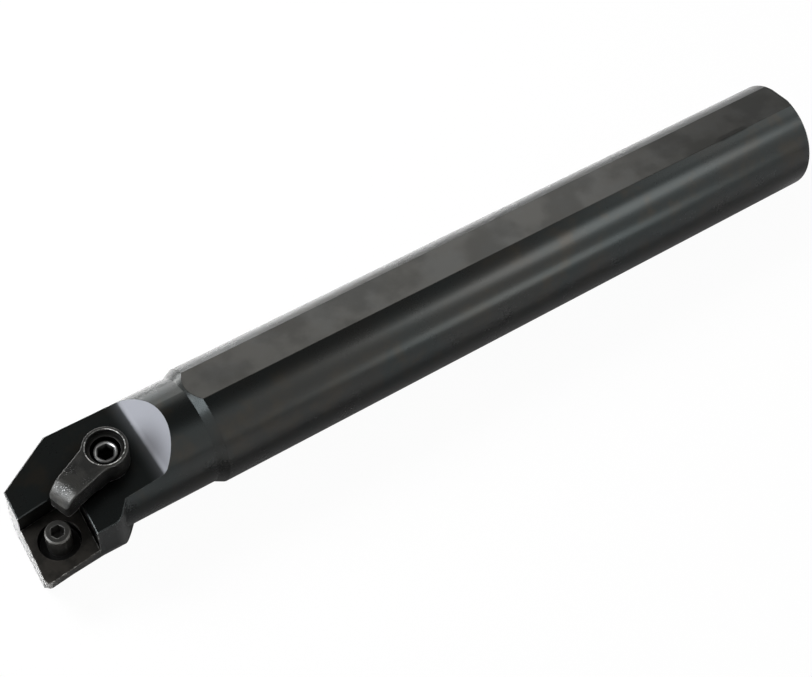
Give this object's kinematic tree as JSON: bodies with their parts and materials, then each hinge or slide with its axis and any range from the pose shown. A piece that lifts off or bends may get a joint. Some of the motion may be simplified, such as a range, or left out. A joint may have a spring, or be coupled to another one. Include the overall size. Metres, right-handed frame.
{
  "type": "boring bar",
  "caption": "Round steel boring bar with two shank flats and a slanted head that seats a rhombic insert under a lock pin and a finger clamp.",
  "frame": {"origin": "on the shank's axis, at the shoulder where the shank begins", "axes": "+X along the shank to its rear end, +Z the outward normal of the top flat, head at the -X end with the insert side towards -Y"},
  "size_m": [0.1992, 0.0275, 0.0242],
  "materials": {
    "bar_steel": "black oxide on turned and milled steel, satin",
    "shim_steel": "ground and blackened, warm grey",
    "pin_steel": "black oxide, semi-gloss",
    "clamp_steel": "forged, blackened, worn bright along its edges",
    "screw_steel": "black oxide, semi-gloss"
  },
  "bodies": {
    "frame": {"bar": "bar_steel", "shim": "shim_steel"},
    "pin": {"lock_pin": "pin_steel"},
    "clamp_body": {"clamp": "clamp_steel"},
    "screw": {"clamp_screw": "screw_steel"}
  },
  "joints": [
    {"name": "lock_pin_turn", "type": "hinge", "parent": "frame", "child": "pin", "pos_m": [-0.03557, -0.00837, -0.00177], "axis": [-0.0732, -0.2413, 0.9677], "range_deg": [0, 360]},
    {"name": "clamp_screw_turn", "type": "hinge", "parent": "frame", "child": "screw", "pos_m": [-0.02096, -0.0023, 0.00577], "axis": [-0.0732, -0.2413, 0.9677], "range_deg": [0, 450]},
    {"name": "clamp_lift", "type": "slide", "parent": "frame", "child": "clamp_body", "axis": [-0.0732, -0.2413, 0.9677], "range_m": [0, 0.0025]}
  ],
  "couplings": [
    {"joint": "clamp_screw_turn", "follows": "clamp_lift", "rad_per_m": 3141.6}
  ]
}
